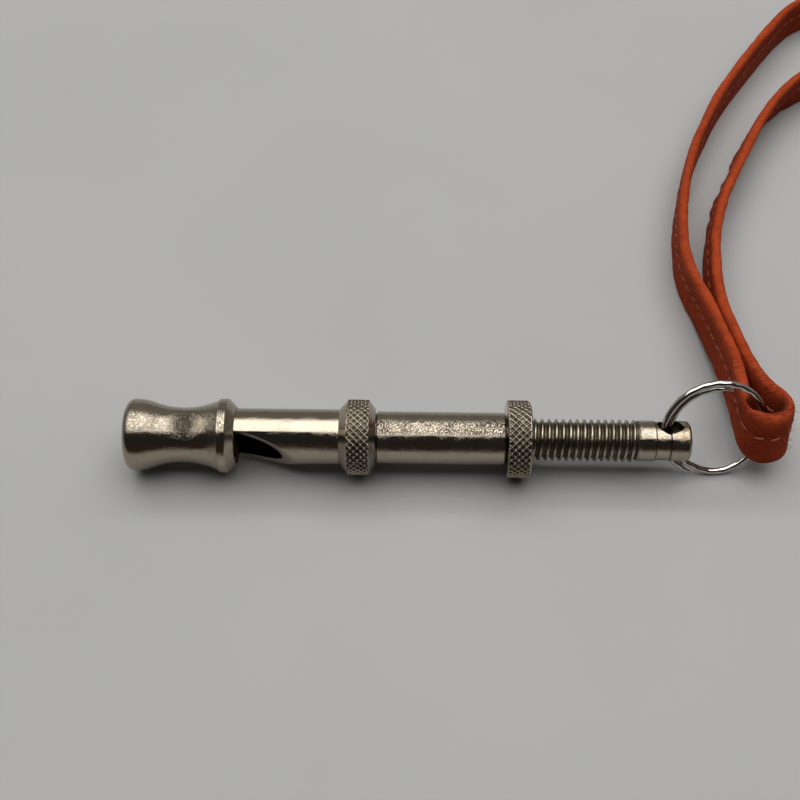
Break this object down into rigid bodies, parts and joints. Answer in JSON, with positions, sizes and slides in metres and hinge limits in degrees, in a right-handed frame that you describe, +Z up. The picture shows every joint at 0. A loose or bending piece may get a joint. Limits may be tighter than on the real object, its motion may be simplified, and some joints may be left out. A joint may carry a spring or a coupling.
{
  "type": "training whistle",
  "caption": "Slim metal tuning whistle for dog training: waisted mouthpiece, side window, knurled rings, threaded adjuster, split ring and orange leather neck lanyard.",
  "frame": {"origin": "on the resting surface, under the middle of the whistle's length and under its axis, without the split ring and the lanyard", "axes": "+X runs along the whistle from the mouth end to the ring end, +Y points away from the side that the sound window faces, +Z is up"},
  "size_m": [0.21, 0.1143, 0.0147],
  "materials": {
    "nickel_smooth": "plated",
    "nickel_bright": "plated",
    "nickel_knurled": "plated, knurled",
    "nickel_pitted": "plated, pitted",
    "nickel_screw": "plated",
    "brass_bare": "turned",
    "ring_steel": "polished",
    "orange_leather": "matt"
  },
  "bodies": {
    "whistle_body": {"mouthpiece": "nickel_smooth", "windway_plug": "brass_bare", "front_tube": "nickel_bright", "knurled_collar": "nickel_knurled", "rear_barrel": "nickel_pitted"},
    "piston": {"tuning_piston": "brass_bare"},
    "screw": {"adjuster_screw": "nickel_screw", "lanyard_strap": "orange_leather", "lanyard_coil": "orange_leather"},
    "nut": {"lock_nut": "nickel_knurled"},
    "ring": {"split_ring": "ring_steel"}
  },
  "joints": [
    {"name": "piston_slide", "type": "slide", "parent": "whistle_body", "child": "piston", "axis": [1, 0, 0], "range_m": [-0.012, 0.002]},
    {"name": "screw_turn", "type": "hinge", "parent": "piston", "child": "screw", "pos_m": [0, 0, 0.00555], "axis": [1, 0, 0], "range_deg": [-4320, 720]},
    {"name": "nut_travel", "type": "slide", "parent": "whistle_body", "child": "nut", "axis": [1, 0, 0], "range_m": [0, 0.002]},
    {"name": "ring_turn", "type": "hinge", "parent": "screw", "child": "ring", "pos_m": [0.0435, 0.00105, 0.00735], "axis": [0.0796, -0.9101, 0.4067], "continuous": true}
  ],
  "couplings": [
    {"joint": "piston_slide", "follows": "screw_turn", "m_per_rad": 0.00015915}
  ]
}
